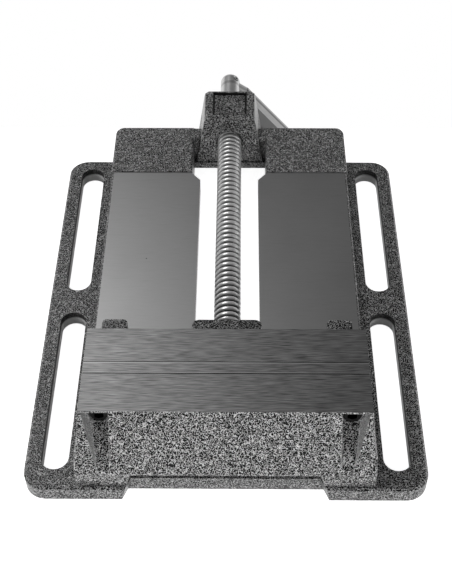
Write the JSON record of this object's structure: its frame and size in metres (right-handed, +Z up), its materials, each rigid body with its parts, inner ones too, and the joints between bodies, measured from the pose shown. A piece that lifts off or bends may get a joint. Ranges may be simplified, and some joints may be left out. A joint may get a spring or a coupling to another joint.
{
  "type": "drill press vise",
  "caption": "Low flat vise for a drill press table: slotted cast base, steel-faced jaws, sliding jaw driven by a lead screw and crank.",
  "frame": {"origin": "on the flat underside, in the middle of the jaws' width, straight below the fixed jaw's clamping face", "axes": "+X to the right seen from the fixed jaw's end, +Y along the screw from the fixed jaw to the crank, +Z up"},
  "size_m": [0.218, 0.3744, 0.1297],
  "materials": {
    "painted_iron": "dark grey hammertone paint with ground ways and jaw tops",
    "hardened_steel": "ground",
    "black_steel": "black oxide",
    "plain_steel": "satin",
    "zinc_steel": "bright zinc plate",
    "zinc_iron": "zinc-plated casting"
  },
  "bodies": {
    "base": {"base_casting": "painted_iron", "fixed_jaw_plate": "hardened_steel", "fixed_plate_screws": "black_steel"},
    "moving_jaw": {"moving_jaw_casting": "painted_iron", "moving_jaw_plate": "hardened_steel", "moving_plate_screws": "black_steel", "keeper_plate": "plain_steel", "keeper_bolts": "zinc_steel", "keeper_washers": "zinc_steel", "screw_retaining_pins": "plain_steel", "thrust_washer": "plain_steel"},
    "screw_and_crank": {"lead_screw": "zinc_steel", "crank": "zinc_iron", "crank_pin": "plain_steel", "grip_washer": "zinc_steel", "grip_spindle": "zinc_steel"},
    "grip": {"crank_grip": "zinc_steel"}
  },
  "joints": [
    {"name": "jaw_slide", "type": "slide", "parent": "base", "child": "moving_jaw", "axis": [0, 1, 0], "range_m": [0, 0.1352]},
    {"name": "screw_turn", "type": "hinge", "parent": "moving_jaw", "child": "screw_and_crank", "pos_m": [0, 0.15, 0.0224], "axis": [0, 1, 0], "range_deg": [0, 12150]},
    {"name": "grip_spin", "type": "hinge", "parent": "screw_and_crank", "child": "grip", "pos_m": [0.07392, 0.3074, -0.0657], "axis": [0, 1, 0], "continuous": true}
  ],
  "couplings": [
    {"joint": "jaw_slide", "follows": "screw_turn", "m_per_rad": 0.00063662}
  ]
}
